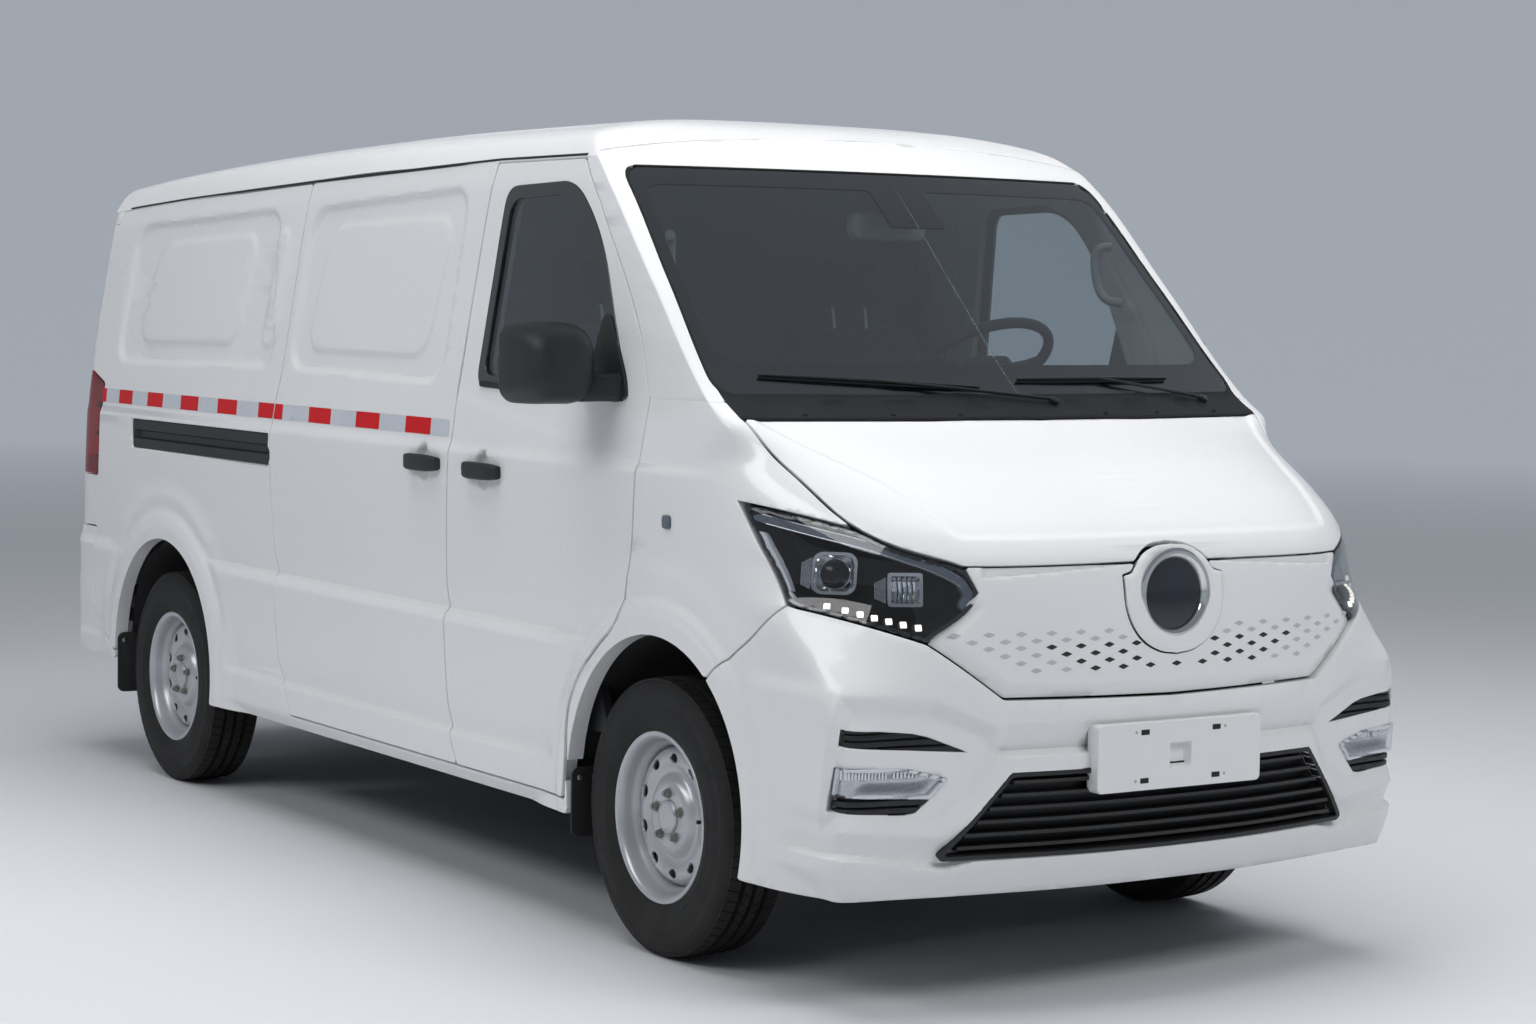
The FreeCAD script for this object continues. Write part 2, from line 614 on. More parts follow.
def build_side_wall():
    """The right-hand rear quarter with the sill under the doors."""
    quarter = box(TAIL_X, back(SLIDE_TOP_REAR_SHARE), -WIDTH, 0, up(SILL_SHARE), HEIGHT)
    sill = box(TAIL_X, back(FENDER_REAR_SHARE), -WIDTH, 0, up(SILL_SHARE), up(SILL_FRONT_TOP_SHARE))
    wall = RIGHT_SHELL.common(quarter.fuse(sill))
    wall = wall.cut([DOOR_GAP, SLIDE_TOOL, ROOF_TOOL, REAR_BUMPER_TOOL, TAILGATE_GAP,
                     TAIL_LAMP_TOOL])
    wall = recess(wall, REAR_PANEL_SHARES, RECESS_FORM, CORNER_RADIUS)
    wall = solid_of(recess(wall, TRACK_CHANNEL_SHARES, TRACK_FORM, 0))
    return joined(wall, *sill_buffers())


def build_slide_track():
    """The black rail that lies in the channel behind the sliding door."""
    face = grown(side_face(side_points(TRACK_CHANNEL_SHARES)), -SEAT)
    low_z, high_z = face.BoundBox.ZMin, face.BoundBox.ZMax
    slot = box(-LENGTH, LENGTH, -WIDTH, 0, low_z + (high_z - low_z) * TRACK_SLOT_SHARES[0],
               low_z + (high_z - low_z) * TRACK_SLOT_SHARES[1])
    rail = through_right(face).common(GLASS_INNER).cut(TRACK_FORM)
    return solid_of(rail.cut(slot.cut(TRACK_LIP_FORM)))


def build_fender():
    region = box(back(FENDER_REAR_SHARE), NOSE_X, -WIDTH, 0, up(SILL_SHARE), PILLAR_FOOT_Z)
    fender = RIGHT_SHELL.common(region)
    fender = fender.cut([DOOR_GAP, BUMPER_TOOL, HOOD_GAP, LAMP_TOOL, PANEL_TOOL, COWL_TOOL])
    return solid_of(fender)


def screen_face(grow):
    low, high = front_points(SCREEN_OUTLINE_SHARES)
    face = front_face([low, high, (-high[0], high[1]), (-low[0], low[1])])
    return grown(rounded(face, CORNER_RADIUS), grow)


def build_cab_frame():
    """Windscreen pillars and header."""
    whole = box(back(CAB_REAR_SHARE), NOSE_X, -WIDTH, WIDTH, PILLAR_FOOT_Z, HEIGHT + OVERRUN)
    frame = SHELL.common(whole).cut([ROOF_TOOL, DOOR_GAP, mirrored(DOOR_GAP), SLIDE_TOOL,
                                     mirrored(SLIDE_TOOL), HOOD_GAP, COWL_TOOL])
    aperture = span_x(screen_face(-FRAME_LIP), back(SCREEN_ROOT_SHARE), NOSE_X)
    bed = span_x(screen_face(SEAT), back(SCREEN_ROOT_SHARE), NOSE_X).cut(GLASS_BED)
    return solid_of(frame.cut([aperture, bed]))


def build_windscreen():
    pane = span_x(screen_face(0.0), back(SCREEN_ROOT_SHARE), NOSE_X)
    return solid_of(OUTER.cut(GLASS_INNER).common(pane))


def build_roof():
    return solid_of(SHELL.common(ROOF_TOOL).cut([TAILGATE_GAP, DOOR_GAP, mirrored(DOOR_GAP)]))


def build_hood():
    """The bonnet: square-ended at the cowl and cut out round the shield below it."""
    hood = solid_of(SHELL.common(HOOD_TOOL))
    rear_x = ahead(NOSE_SHARES[-2][1]) + HOOD_REAR_TRIM
    setbacks = [share * FRONT_OVERHANG for share in HOOD_REAR_PLAN]
    edge = Part.Face(plan_wire(HEIGHT / 2, rear_x, setbacks, HALF_WIDTH, 1))
    behind_edge = edge.extrude(V(0, 0, HEIGHT))
    left = solid_of(hood.cut([RIGHT_HALF, behind_edge, SHIELD_GAP]))
    return joined(left, mirrored(left))


def build_cowl():
    return solid_of(OUTER.cut(RECESS_FORM).common(COWL_TOOL))


def build_headlamp():
    return solid_of(RIGHT_SHELL.common(LAMP_TOOL))


def grille_prism(grow=0.0):
    return front_tool(front_points(GRILLE_SHARES), ahead(NOSE_ROOT_SHARE), NOSE_X, grow)


def fog_prism(shares):
    return span_x(front_face([(-y, z) for y, z in front_points(shares)]), ahead(NOSE_ROOT_SHARE), NOSE_X)


def build_front_bumper():
    bumper = SHELL.common(BUMPER_TOOL)
    below = box(-LENGTH, LENGTH, -WIDTH, WIDTH, -OVERRUN, up(BUMPER_BOTTOM_SHARE))
    bumper = bumper.cut([below, PANEL_TOOL, HOOD_GAP, LAMP_TOOL, mirrored(LAMP_TOOL)])
    pocket = fog_prism(FOG_SHARES).cut(FOG_FORM)
    bumper = bumper.cut([grille_prism().cut(INNER), pocket, mirrored(pocket)])
    return solid_of(bumper.cut(plate_holes()))


def build_fog_lamp():
    layer = GLASS_INNER.cut(FOG_FORM)
    return solid_of(layer.common(fog_prism(FOG_LAMP_SHARES)))


def build_lower_grille():
    """A backing sheet with slats across the bumper's opening."""
    sheet = FOG_FORM.cut(INNER).common(grille_prism())
    low, high = up(GRILLE_SHARES[2][1]), up(GRILLE_SHARES[1][1])
    pitch = (high - low) / SLAT_COUNT
    starts = [low + pitch / 2 + pitch * n for n in range(SLAT_COUNT)]
    strips = [box(ahead(NOSE_ROOT_SHARE), NOSE_X, -HALF_WIDTH, HALF_WIDTH, z, z + SLAT_THICKNESS)
              for z in starts]
    slats = GLASS_INNER.cut(FOG_FORM).common(grille_prism())
    return joined(solid_of(sheet), slats.common(Part.makeCompound(strips)))


def build_grille_panel():
    """The closed front panel, with two rubber stops that carry the bonnet."""
    panel = solid_of(SHELL.common(PANEL_TOOL))
    x_share, y_share = HOOD_BUFFER_SHARES
    top = up(HOOD_SHARES[0][1]) - SEAT
    stops = [box(ahead(x_share), ahead(x_share) + BUFFER_WIDTH, y - BUFFER_LENGTH / 2,
                 y + BUFFER_LENGTH / 2, top - 2 * SEAM, top) for y in (-out(y_share), out(y_share))]
    return joined(panel, *stops)


def plate_holes():
    """Screw holes through the plate holder and the bumper wall behind it."""
    centre_z = up(PLATE_CENTRE_SHARE)
    start_x = LENGTH / 2 - PLATE_ROOT - WALL
    return [Part.makeCylinder(PLATE_HOLE_RADIUS, PLATE_ROOT + WALL,
                              V(start_x, y * PLATE_HOLE_SPACING_Y / 2,
                                centre_z + z * PLATE_HOLE_SPACING_Z / 2), V(1, 0, 0))
            for y in (-1, 1) for z in (-1, 1)]


def build_plate_holder():
    centre_z = up(PLATE_CENTRE_SHARE)
    front_x = LENGTH / 2
    plate = box(front_x - PLATE_ROOT, front_x, -PLATE_WIDTH / 2, PLATE_WIDTH / 2,
                centre_z - PLATE_HEIGHT / 2, centre_z + PLATE_HEIGHT / 2)
    return solid_of(plate.cut(OUTER)).cut(plate_holes())


def build_badge():
    """The plain shield in the middle of the front panel."""
    return solid_of(FITTING_LAYER.common(SHIELD_TOOL))


def build_rear_bumper():
    bumper = SHELL.common(REAR_BUMPER_TOOL)
    below = box(-LENGTH, LENGTH, -WIDTH, WIDTH, -OVERRUN, up(REAR_BUMPER_BOTTOM_SHARE))
    return solid_of(bumper.cut([below, TAILGATE_GAP]))


def build_tail_lamp():
    return solid_of(RIGHT_SHELL.common(TAIL_LAMP_TOOL))


def tailgate_axis():
    """The hinge line above the tailgate's top edge, in the plane of its skin."""
    return behind(TAILGATE_AXIS_SHARE), up(TAILGATE_SHARES[-1][1]) + HINGE_EYE


def build_tailgate():
    gate = solid_of(SHELL.common(TAILGATE_TOOL))
    window = back_window_face()
    gate = gate.cut(span_x(grown(window, -FRAME_LIP), TAIL_X, behind(TAIL_ROOT_SHARE)))
    gate = gate.cut(span_x(window, TAIL_X, behind(TAIL_ROOT_SHARE)).cut(GLASS_BED))
    axis_x, axis_z = tailgate_axis()
    leaves = []
    for side in (-1, 1):
        y = side * out(TAILGATE_HINGE_SHARE)
        barrel = Part.makeCylinder(HINGE_PIN, HINGE_HEIGHT, V(axis_x, y - HINGE_HEIGHT / 2, axis_z),
                                   V(0, 1, 0))
        ends = [box(axis_x - HINGE_PIN, axis_x + HINGE_PIN, y0, y0 + HINGE_EYE,
                    axis_z - WALL, axis_z)
                for y0 in (y - HINGE_HEIGHT / 2, y + HINGE_HEIGHT / 2 - HINGE_EYE)]
        leaves += [barrel] + ends
    return joined(gate, *leaves)


def back_window_face():
    low, high = front_points(BACK_WINDOW_SHARES)
    face = front_face([low, high, (-high[0], high[1]), (-low[0], low[1])])
    return rounded(face, CORNER_RADIUS)


def build_tailgate_glass():
    pane = span_x(grown(back_window_face(), -SEAT), TAIL_X, behind(TAIL_ROOT_SHARE))
    return solid_of(OUTER.cut(GLASS_INNER).common(pane))


def roof_hinges(roof):
    """Eyes under the roof's rear edge round the tailgate's pins."""
    axis_x, axis_z = tailgate_axis()
    for side in (-1, 1):
        y = side * out(TAILGATE_HINGE_SHARE)
        gap = Part.makeCylinder(HINGE_EYE + SEAM, HINGE_HEIGHT + 2 * SEAM,
                                V(axis_x, y - HINGE_HEIGHT / 2 - SEAM, axis_z), V(0, 1, 0))
        half = (HINGE_HEIGHT - 2 * HINGE_EYE) / 2 - SEAM
        eye = Part.makeCylinder(HINGE_EYE, 2 * half, V(axis_x, y - half, axis_z), V(0, 1, 0))
        stem = box(axis_x - HINGE_EYE, axis_x + HINGE_EYE, y - half, y + half, axis_z,
                   axis_z + HINGE_EYE + 2 * SEAM)
        bore = Part.makeCylinder(HINGE_PIN + SEAT, WIDTH, V(axis_x, -HALF_WIDTH, axis_z), V(0, 1, 0))
        roof = roof.cut(gap).fuse(eye.fuse(stem).common(OUTER.fuse(eye)).cut(bore))
    return solid_of(roof)


def liner_wells(axle_x, inner_y):
    """Both spaces that a pair of wheel liners takes out of the floor and firewall."""
    radius = LINER_RADIUS + SEAT
    right = liner_tube(axle_x, radius, -WIDTH, -inner_y)
    return [right, mirrored(right)]


def build_floor():
    top = FLOOR_Z + FLOOR_THICKNESS
    split_x = back(FLOOR_SPLIT_SHARE)
    front = box(split_x, back(FLOOR_FRONT_SHARE), -WIDTH, WIDTH, FLOOR_Z, top)
    rear = box(behind(FLOOR_REAR_SHARE), split_x, -WIDTH, WIDTH, FLOOR_Z, top)
    floor = CABIN.common(front).fuse(LOAD.common(rear))
    wells = liner_wells(REAR_AXLE_X, REAR_LINER_Y) + liner_wells(FRONT_AXLE_X, FRONT_LINER_Y)
    return solid_of(floor.cut(wells).removeSplitter())


def build_rails():
    rail_top = FLOOR_Z
    rail_low = FLOOR_Z - RAIL_HEIGHT
    pieces = []
    for side in (-1, 1):
        y = side * RAIL_Y
        pieces.append(box(behind(RAIL_REAR_SHARE), ahead(RAIL_FRONT_SHARE), y - RAIL_WIDTH / 2,
                          y + RAIL_WIDTH / 2, rail_low, rail_top))
    for x in [back(share) for share in CROSS_SHARES]:
        pieces.append(box(x - RAIL_WIDTH / 2, x + RAIL_WIDTH / 2, -OUTRIGGER_Y, OUTRIGGER_Y,
                          rail_top - RAIL_WIDTH, rail_top))
    for x in (ahead(RAIL_FRONT_SHARE) - RAIL_WIDTH, behind(RAIL_REAR_SHARE)):
        pieces.append(box(x, x + RAIL_WIDTH, -RAIL_Y, RAIL_Y, rail_low, rail_top))
    return joined(pieces[0], *pieces[1:])


def build_battery():
    half = RAIL_Y - RAIL_WIDTH / 2 - BATTERY_GAP
    x = back(BATTERY_SHARE)
    return box(x - BATTERY_LENGTH / 2, x + BATTERY_LENGTH / 2, -half, half, BATTERY_BOTTOM,
               FLOOR_Z - RAIL_WIDTH - SEAT)


def build_liner(x, inner_y):
    """A right-hand inner arch: half a tube with its inboard wall."""
    tube = liner_tube(x, LINER_RADIUS, -WIDTH, -inner_y)
    tube = tube.cut(liner_tube(x, LINER_RADIUS - LINER_WALL, -WIDTH, OVERRUN))
    wall = liner_tube(x, LINER_RADIUS, -inner_y - LINER_WALL, -inner_y)
    wall = wall.cut(box(x - LENGTH, x + LENGTH, -WIDTH, 0, 0, FLOOR_Z + RAIL_HEIGHT))
    upper = box(x - LENGTH, x + LENGTH, -WIDTH, 0, TYRE_RADIUS + LINER_RISE, HEIGHT)
    return solid_of(tube.common(upper).common(LOAD).fuse(wall).removeSplitter())


def build_flap(axle_x, shares):
    """A flexible flap on the rear edge of one right-hand wheel arch."""
    low, top, outer, inner = shares
    x = arch_centre(axle_x)[0] - ARCH_RADIUS + SEAM
    flap = box(x, x + FLAP_THICKNESS, -out(outer), -out(inner), up(low), up(top))
    under_liner = liner_tube(axle_x, LINER_RADIUS - LINER_WALL - SEAT, -WIDTH, 0)
    return solid_of(flap.cut(SHELL).common(under_liner))


def steering_line():
    low = V(FRONT_AXLE_X, -KINGPIN_LOW_Y, KINGPIN_LOW_Z)
    top = V(FRONT_AXLE_X, -KINGPIN_TOP_Y, KINGPIN_TOP_Z)
    return low, (top - low).normalize()


def hub_face_y():
    return TRACK / 2 + RIM_DISC_OFFSET - RIM_DISC_THICKNESS


def build_knuckle():
    """Upright on the steering axis with brake disc, hub and stub axle, right-hand side."""
    low, line = steering_line()
    upright = Part.makeCylinder(KINGPIN_RADIUS, KNUCKLE_HEIGHT, low, line)
    face_y = hub_face_y() - SEAT
    inner_y = KINGPIN_TOP_Y + HUB_INSET
    hub = axle_cylinder(FRONT_AXLE_X, AXLE_TUBE_RADIUS, -face_y, -inner_y, TYRE_RADIUS)
    disc_y = TRACK / 2 - BRAKE_INSET / 2
    disc = axle_cylinder(FRONT_AXLE_X, BRAKE_RADIUS, -disc_y - BRAKE_THICKNESS, -disc_y, TYRE_RADIUS)
    stub = axle_cylinder(FRONT_AXLE_X, RIM_BORE - SEAT, -face_y - RIM_DISC_THICKNESS, -inner_y,
                         TYRE_RADIUS)
    return joined(upright, hub, disc, stub)


def build_front_suspension():
    """Cross member with both lower arms, and a strut and tower over each knuckle."""
    low, line = steering_line()
    tilt = math.atan2(KINGPIN_LOW_Y - KINGPIN_TOP_Y, KINGPIN_TOP_Z - KINGPIN_LOW_Z)
    arm_top = KINGPIN_LOW_Z - KINGPIN_RADIUS * math.sin(tilt) - SEAT
    inner = RAIL_Y - RAIL_WIDTH
    member = box(FRONT_AXLE_X - RAIL_HEIGHT, FRONT_AXLE_X + RAIL_HEIGHT, -inner, inner,
                 arm_top - ARM_THICKNESS, FLOOR_Z - RAIL_HEIGHT)
    ties = box(FRONT_AXLE_X - RAIL_HEIGHT, FRONT_AXLE_X + RAIL_HEIGHT, -RAIL_Y, RAIL_Y,
               FLOOR_Z - RAIL_HEIGHT - ARM_THICKNESS, FLOOR_Z - RAIL_HEIGHT)
    reach = KINGPIN_LOW_Y + SEAM
    arms = box(FRONT_AXLE_X - ARM_HALF_WIDTH, FRONT_AXLE_X + ARM_HALF_WIDTH, -reach, reach,
               arm_top - ARM_THICKNESS, arm_top)
    frame = joined(member, ties, arms)
    start = low + line * (KNUCKLE_HEIGHT + SEAT)
    length = (KINGPIN_TOP_Z - start.z) / line.z
    strut = Part.makeCylinder(KINGPIN_RADIUS, length, start, line)
    cover = Part.makeCylinder(STRUT_COVER, length * STRUT_COVER_SHARE,
                              start + line * (length * (1 - STRUT_COVER_SHARE)), line)
    tower_foot = V(FRONT_AXLE_X, -KINGPIN_TOP_Y, KINGPIN_TOP_Z - STRUT_COVER)
    tower = Part.makeCylinder(STRUT_TOWER, HEIGHT, tower_foot)
    under_liner = liner_tube(FRONT_AXLE_X, LINER_RADIUS - LINER_WALL - SEAT, -HALF_WIDTH, 0)
    return frame, joined(strut, cover, tower).common(under_liner)


def build_rear_axle():
    """Beam axle with its drive motor, stub ends and two leaf springs."""
    face_y = hub_face_y() - SEAT
    stub_y = face_y + RIM_DISC_THICKNESS
    beam = axle_cylinder(REAR_AXLE_X, AXLE_TUBE_RADIUS, -face_y, face_y, TYRE_RADIUS)
    stub = axle_cylinder(REAR_AXLE_X, RIM_BORE - SEAT, -stub_y, stub_y, TYRE_RADIUS)
    motor = axle_cylinder(REAR_AXLE_X, MOTOR_RADIUS, -MOTOR_LENGTH / 2, MOTOR_LENGTH / 2,
                          TYRE_RADIUS)
    drums = [axle_cylinder(REAR_AXLE_X, BRAKE_RADIUS, y, y + BRAKE_INSET, TYRE_RADIUS)
             for y in (TRACK / 2 - BRAKE_INSET, -TRACK / 2)]
    springs = []
    for side in (-1, 1):
        y = side * RAIL_Y
        mid_z = TYRE_RADIUS + AXLE_TUBE_RADIUS - SPRING_THICKNESS / 2
        end_z = FLOOR_Z - RAIL_HEIGHT - SPRING_THICKNESS
        half = SPRING_LENGTH / 2
        low_arc = Part.Arc(V(REAR_AXLE_X - half, y, end_z), V(REAR_AXLE_X, y, mid_z),
                           V(REAR_AXLE_X + half, y, end_z)).toShape()
        lift = V(0, 0, SPRING_THICKNESS)
        high_arc = low_arc.translated(lift)
        ends = [Part.makeLine(low_arc.Vertexes[n].Point, high_arc.Vertexes[n].Point) for n in (0, 1)]
        side_wire = Part.Wire(Part.sortEdges([low_arc, high_arc] + ends)[0])
        leaf = Part.Face(side_wire).translated(V(0, -RAIL_WIDTH / 2, 0)).extrude(V(0, RAIL_WIDTH, 0))
        springs.append(leaf)
    return joined(beam, stub, motor, *(drums + springs))


def wheel_profile(points):
    return polygon([V(0, y, r) for r, y in points])


def turned(points, x, y):
    """Revolve a wheel section about its axle; y is the wheel's middle plane."""
    solid = wheel_profile(points).revolve(V(0, 0, 0), V(0, 1, 0), 360)
    return solid.translated(V(x, y, TYRE_RADIUS))


def build_rim(x):
    """A pressed steel wheel, right-hand side, outboard face towards -Y."""
    seat, wall, half = RIM_SEAT_RADIUS, RIM_WALL, RIM_WIDTH / 2
    drop = seat - RIM_DROP
    ledge, well = half * RIM_LEDGE_SHARE, half * RIM_WELL_SHARE
    flange = seat + RIM_FLANGE
    barrel = [(flange, -half - wall), (flange, -half), (seat, -half), (seat, -ledge),
              (drop, -well), (drop, well), (seat, ledge), (seat, half), (flange, half),
              (flange, half + wall), (seat - wall, half + wall), (seat - wall, ledge),
              (drop - wall, well), (drop - wall, -well), (seat - wall, -ledge),
              (seat - wall, -half - wall)]
    face, back_face = -RIM_DISC_OFFSET, -RIM_DISC_OFFSET + RIM_DISC_THICKNESS
    ring = RIM_WINDOW_CIRCLE - 2 * RIM_WINDOW_RADIUS
    edge = drop - wall / 2
    disc = [(RIM_BORE, face), (ring - RIM_DISC_DISH, face), (ring, face + RIM_DISC_DISH),
            (edge, face + RIM_DISC_DISH), (edge, back_face + RIM_DISC_DISH),
            (ring - RIM_DISC_DISH / 2, back_face + RIM_DISC_DISH),
            (ring - RIM_DISC_DISH * 1.5, back_face), (RIM_BORE, back_face)]
    cap = [(0, face - RIM_WALL), (RIM_CAP - RIM_WALL, face - RIM_WALL), (RIM_CAP, face),
           (0, face)]
    y = -TRACK / 2
    rim = turned(barrel, x, y).fuse([turned(disc, x, y), turned(cap, x, y)])
    windows = []
    for n in range(RIM_WINDOWS):
        angle = 2 * math.pi * n / RIM_WINDOWS
        windows.append(axle_cylinder(x + RIM_WINDOW_CIRCLE * math.cos(angle), RIM_WINDOW_RADIUS,
                                     y - RIM_WIDTH, y,
                                     TYRE_RADIUS + RIM_WINDOW_CIRCLE * math.sin(angle)))
    return solid_of(rim.cut(windows))


def build_tyre(x):
    seat = RIM_SEAT_RADIUS + SEAT
    half = TYRE_WIDTH / 2
    middle = (seat + TYRE_RADIUS) / 2
    points = [(seat, -TYRE_BEAD_WIDTH), (middle, -half),
              (TYRE_RADIUS - TYRE_SHOULDER, -half + TYRE_SHOULDER),
              (TYRE_RADIUS, -half + TREAD_INSET), (TYRE_RADIUS, half - TREAD_INSET),
              (TYRE_RADIUS - TYRE_SHOULDER, half - TYRE_SHOULDER), (middle, half),
              (seat, TYRE_BEAD_WIDTH)]
    return turned(points, x, -TRACK / 2)


def build_dashboard():
    """Dashboard with the firewall in front of it and the steering column."""
    dash = CABIN.common(across(side_face(side_points(DASH_SHARES))))
    wall = LOAD.common(box(back(FIREWALL_SHARE), back(FIREWALL_SHARE) + BULKHEAD_THICKNESS, -WIDTH,
                           WIDTH, FLOOR_Z, up(BELT_SHARE)))
    wells = liner_wells(FRONT_AXLE_X, FRONT_LINER_Y)
    hub, line = steering_wheel_axis()
    column = Part.makeCylinder(COLUMN_RADIUS, COLUMN_LENGTH, hub + line * -(COLUMN_LENGTH + SEAT), line)
    return joined(solid_of(dash.fuse(solid_of(wall.cut(wells)))), column)


def steering_wheel_axis():
    """Hub point and direction towards the driver."""
    hub = V(back(STEERING_SHARES[0]), out(STEERING_SHARES[1]), up(STEERING_SHARES[2]))
    rake = math.radians(STEERING_RAKE_DEG)
    return hub, V(-math.cos(rake), 0, math.sin(rake))


def build_steering_wheel():
    hub, line = steering_wheel_axis()
    ring = Part.makeTorus(WHEEL_RIM_RADIUS, WHEEL_GRIP_RADIUS, hub + line * WHEEL_DISH, line)
    boss = Part.makeCylinder(WHEEL_BOSS_RADIUS, WHEEL_DISH, hub, line)
    side = V(0, 1, 0)
    rise = line.cross(side)
    spokes = []
    for direction in (side, side * -1, rise * -1 if rise.z > 0 else rise):
        start = hub + line * (WHEEL_DISH / 2)
        slope = line * (WHEEL_DISH / 2 / WHEEL_RIM_RADIUS)
        spokes.append(Part.makeCylinder(WHEEL_SPOKE_RADIUS, WHEEL_RIM_RADIUS, start, direction + slope))
    return joined(ring, boss, *spokes)


def build_seat(side):
    """A cab seat: pedestal, cushion, backrest and headrest."""
    y0, y1 = side * SEAT_Y - SEAT_WIDTH / 2, side * SEAT_Y + SEAT_WIDTH / 2
    front, rear = back(SEAT_SHARES[0]), back(SEAT_SHARES[1])
    low, top = up(SEAT_SHARES[2]), up(SEAT_SHARES[3])
    foot = box(rear + CUSHION, front - CUSHION, y0 + CUSHION / 2, y1 - CUSHION / 2,
               FLOOR_Z + FLOOR_THICKNESS, low)
    cushion = box(rear, front, y0, y1, low, low + CUSHION)
    lean = (top - low) * SEAT_LEAN_SHARE
    rest = side_face([(rear + CUSHION, low + CUSHION), (rear, low), (rear - lean, top),
                      (rear - lean + CUSHION, top)], y0).extrude(V(0, SEAT_WIDTH, 0))
    head_y0 = side * SEAT_Y - HEADREST_WIDTH / 2
    head_x, head_top = rear - lean - HEADREST_LEAN, top + HEADREST_HEIGHT
    head = side_face([(rear - lean, top), (head_x, head_top), (head_x + HEADREST_DEPTH, head_top),
                      (rear - lean + HEADREST_DEPTH, top)], head_y0).extrude(V(0, HEADREST_WIDTH, 0))
    return joined(foot, cushion, rest, head)


def build_bulkhead():
    x = back(BULKHEAD_SHARE)
    return solid_of(LOAD.common(box(x - BULKHEAD_THICKNESS, x, -WIDTH, WIDTH,
                                    FLOOR_Z + FLOOR_THICKNESS, HEIGHT)))


def build_mirror():
    """Housing on an arm from the window's front corner, right-hand side."""
    x0, x1 = back(MIRROR_X_SHARES[0]), back(MIRROR_X_SHARES[1])
    y0, y1 = -out(MIRROR_Y_SHARES[1]), -out(MIRROR_Y_SHARES[0])
    z0, z1 = up(MIRROR_Z_SHARES[0]), up(MIRROR_Z_SHARES[1])
    housing = box(x0, x1, y0, y1, z0, z1)
    housing = housing.makeFillet(MIRROR_FILLET, housing.Edges)
    arm = side_face(side_points(MIRROR_ARM_SHARES), -HALF_WIDTH - OVERRUN)
    arm = arm.extrude(V(0, OVERRUN + ARCH_DEPTH / 2, 0)).cut(OUTER)
    arm = solid_of(arm.common(box(-LENGTH, LENGTH, -WIDTH, -out(MIRROR_ROOT_SHARE), 0, HEIGHT)))
    return joined(housing, arm)


def build_handle(x_share, z_share):
    """A pull bar on two feet, right-hand side."""
    x, z = back(x_share), up(z_share)
    skin_y = -out(HANDLE_FOOT_SHARE)
    bar = box(x - HANDLE_LENGTH / 2, x + HANDLE_LENGTH / 2, skin_y - HANDLE_PROUD,
              skin_y - HANDLE_PROUD + HANDLE_THICKNESS, z - HANDLE_HEIGHT / 2, z + HANDLE_HEIGHT / 2)
    feet = [box(x0, x0 + HANDLE_HEIGHT, skin_y - HANDLE_PROUD + HANDLE_THICKNESS, skin_y + HANDLE_PROUD,
                z - HANDLE_HEIGHT / 2, z + HANDLE_HEIGHT / 2)
            for x0 in (x - HANDLE_LENGTH / 2, x + HANDLE_LENGTH / 2 - HANDLE_HEIGHT)]
    return solid_of(joined(bar, *[solid_of(foot.cut(OUTER)) for foot in feet]))


def strip(start, end, half_width):
    """A straight bar in the front view."""
    run, rise = end[0] - start[0], end[1] - start[1]
    size = math.hypot(run, rise)
    a, b = -rise / size * half_width, run / size * half_width
    corners = [(start[0] + a, start[1] + b), (end[0] + a, end[1] + b),
               (end[0] - a, end[1] - b), (start[0] - a, start[1] - b)]
    return span_x(front_face(corners), FRONT_AXLE_X, NOSE_X)


def build_wiper(shares):
    """A blade that follows the glass, with its arm from a round pivot cover on the cowl."""
    blade_start, blade_end, pivot = front_points(shares)
    middle = tuple((a + b) / 2 for a, b in zip(blade_start, blade_end))
    cover = Part.makeCylinder(WIPER_PIVOT_RADIUS, FRONT_OVERHANG, V(FRONT_AXLE_X, pivot[0], pivot[1]),
                              V(1, 0, 0))
    outline = strip(blade_start, blade_end, WIPER_RADIUS).fuse([strip(middle, pivot, WIPER_RADIUS), cover])
    return solid_of(FITTING_LAYER.common(outline))


def pair(shape):
    return Part.makeCompound([shape, mirrored(shape)])


def write(name, shape):
    shape.exportStep(os.path.join("parts", name + ".step"))


def write_pair(name, shape):
    """One right-hand piece and its mirror image on the left, as two nodes."""
    write(name + "_right", shape)
    write(name + "_left", mirrored(shape))


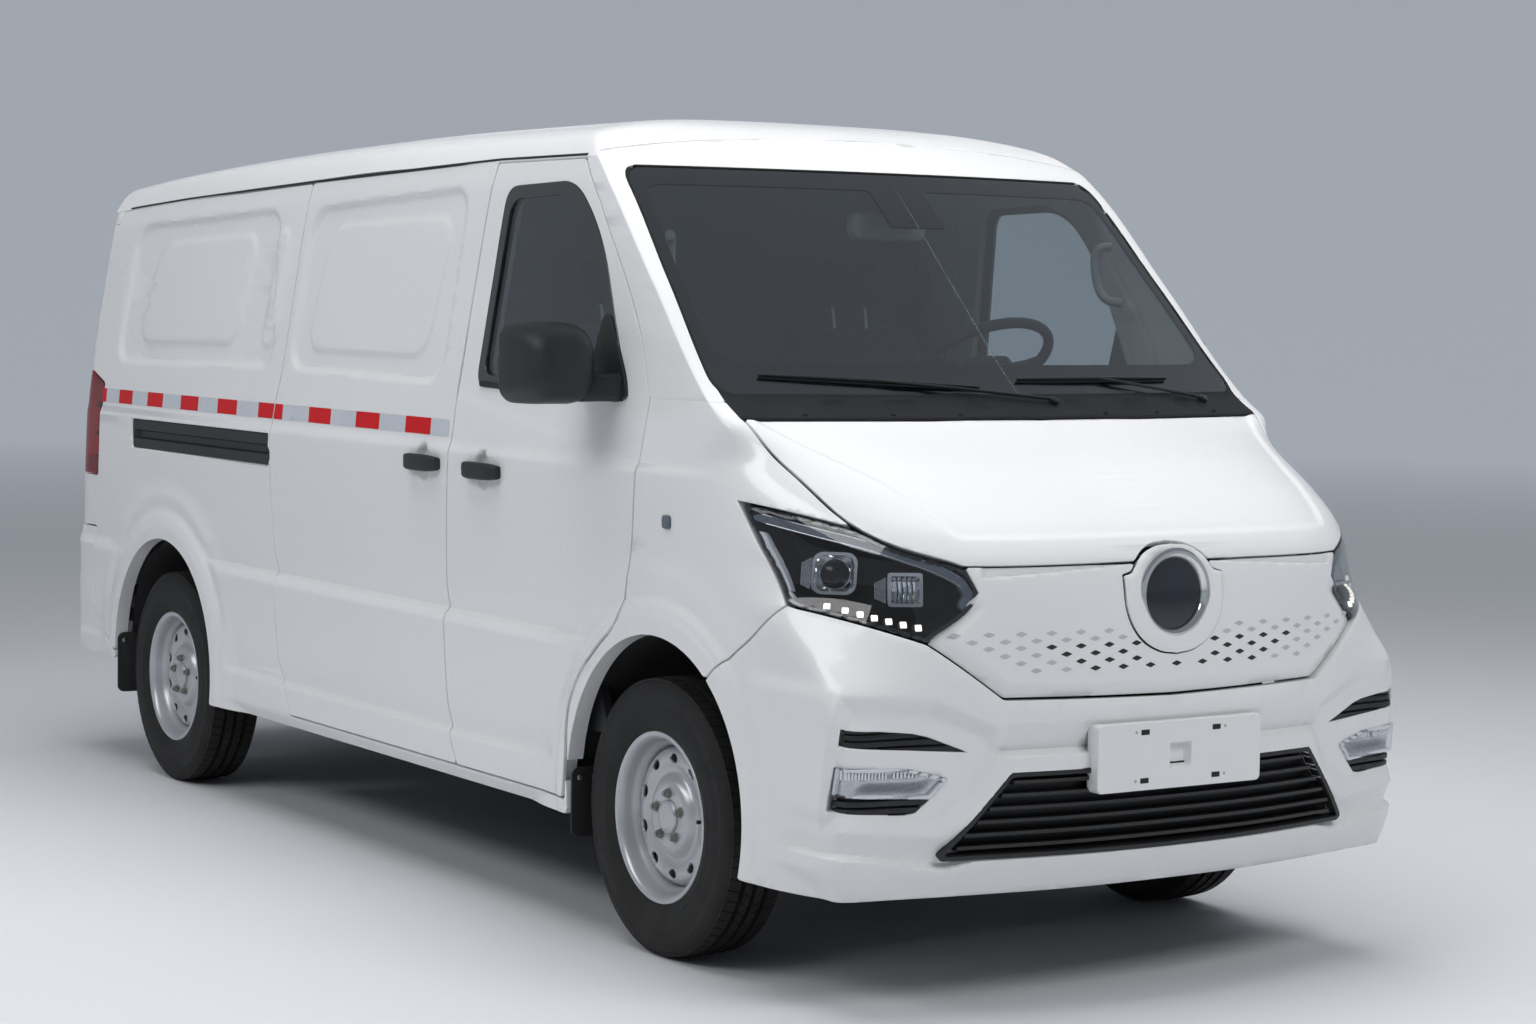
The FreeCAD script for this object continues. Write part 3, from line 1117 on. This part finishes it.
def main():
    write_pair("side_wall", build_side_wall())
    write_pair("sliding_door", build_sliding_door())
    write("slide_tracks", pair(build_slide_track()))
    write("front_fenders", pair(build_fender()))
    write("roof", roof_hinges(build_roof()))
    write("cab_frame", build_cab_frame())
    write("windscreen", build_windscreen())
    write("cowl_panel", build_cowl())
    write("wipers", Part.makeCompound([build_wiper(shares) for shares in WIPER_SHARES]))
    write("hood", build_hood())
    write("grille_panel", build_grille_panel())
    write("front_badge", build_badge())
    write("front_bumper", build_front_bumper())
    write("lower_grille", build_lower_grille())
    write("plate_holder", build_plate_holder())
    write("headlamps", pair(build_headlamp()))
    write("fog_lamps", pair(build_fog_lamp()))
    write("rear_bumper", build_rear_bumper())
    write("tail_lamps", pair(build_tail_lamp()))
    write("tailgate", build_tailgate())
    write("tailgate_glass", build_tailgate_glass())
    write("floor_pan", build_floor())
    write("chassis_rails", build_rails())
    write("battery_pack", build_battery())
    liners = [build_liner(FRONT_AXLE_X, FRONT_LINER_Y), build_liner(REAR_AXLE_X, REAR_LINER_Y)]
    write("wheel_liners", Part.makeCompound([pair(liner) for liner in liners]))
    flaps = [build_flap(FRONT_AXLE_X, FRONT_FLAP_SHARES), build_flap(REAR_AXLE_X, REAR_FLAP_SHARES)]
    write("mudflaps", Part.makeCompound([pair(flap) for flap in flaps]))
    cross_member, strut = build_front_suspension()
    write("front_cross_member", cross_member)
    write("front_struts", pair(strut))
    write("rear_axle", build_rear_axle())
    write_pair("knuckle", build_knuckle())
    for place, x in (("front", FRONT_AXLE_X), ("rear", REAR_AXLE_X)):
        write_pair("rim_" + place, build_rim(x))
        write_pair("tyre_" + place, build_tyre(x))
    write("dashboard", build_dashboard())
    write("steering_wheel", build_steering_wheel())
    write("seats", Part.makeCompound([build_seat(-1), build_seat(1)]))
    write("bulkhead", build_bulkhead())
    write_pair("front_door", build_front_door())
    write_pair("door_glass", build_door_glass())
    write_pair("mirror", build_mirror())
    write_pair("door_handle", build_handle(*DOOR_HANDLE_SHARES))
    write("slide_handles", pair(build_handle(*SLIDE_HANDLE_SHARES)))


main()
